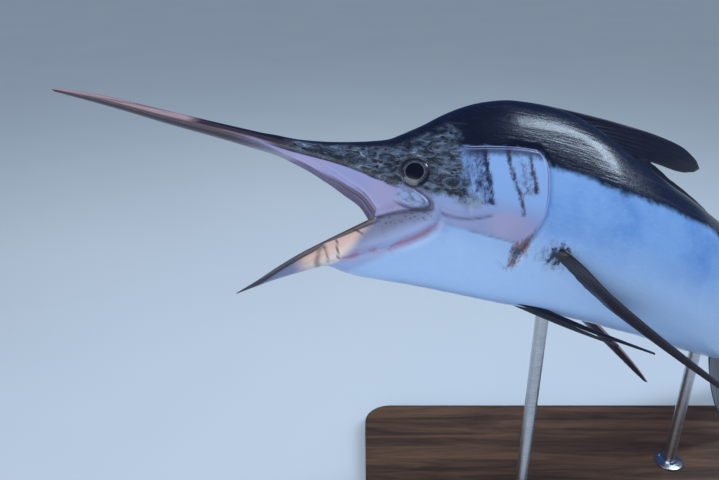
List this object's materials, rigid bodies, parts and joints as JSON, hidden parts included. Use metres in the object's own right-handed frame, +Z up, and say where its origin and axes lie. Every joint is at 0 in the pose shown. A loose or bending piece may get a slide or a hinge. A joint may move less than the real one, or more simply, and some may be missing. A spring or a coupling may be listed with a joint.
{
  "type": "white marlin",
  "caption": "Life-size white marlin with an open mouth and its first dorsal fin folded back, turning on a flat base with two short rods.",
  "frame": {"origin": "centre of the underside of the stand's base", "axes": "+X from the head towards the tail, +Y away from the left flank, +Z up"},
  "size_m": [1.973, 0.7861, 0.8573],
  "materials": {
    "bill": "wet brown pink with a dark upper edge",
    "head_skin": "wet charcoal skin with fine scales",
    "jaw_skin": "wet copper and mauve grey skin",
    "gill_cover": "wet silver blue with dark bars",
    "eye": "clear wet eye",
    "body_skin": "wet skin, near black above and silver white below",
    "dorsal_fin": "wet near black violet",
    "fin": "wet dark slate",
    "tail_fin": "wet dark slate",
    "stand_wood": "satin dark wood",
    "stand_steel": "satin"
  },
  "bodies": {
    "root": {"bill": "bill", "head": "head_skin", "lower_jaw": "jaw_skin", "gill_cover_left": "gill_cover", "gill_cover_right": "gill_cover", "eye_left": "eye", "eye_right": "eye", "trunk": "body_skin", "tail": "body_skin", "tail_stalk": "body_skin", "dorsal_fin": "dorsal_fin", "dorsal_fin_middle": "dorsal_fin", "dorsal_fin_rear": "dorsal_fin", "second_dorsal_fin": "dorsal_fin", "anal_fin": "fin", "second_anal_fin": "fin", "tail_fin_upper": "tail_fin", "tail_fin_lower": "tail_fin", "pectoral_fin_left": "fin", "pectoral_fin_right": "fin", "pelvic_fin_left": "fin", "pelvic_fin_right": "fin", "stand_base": "stand_wood", "stand_rod_front": "stand_steel", "stand_rod_rear": "stand_steel"}
  },
  "joints": []
}
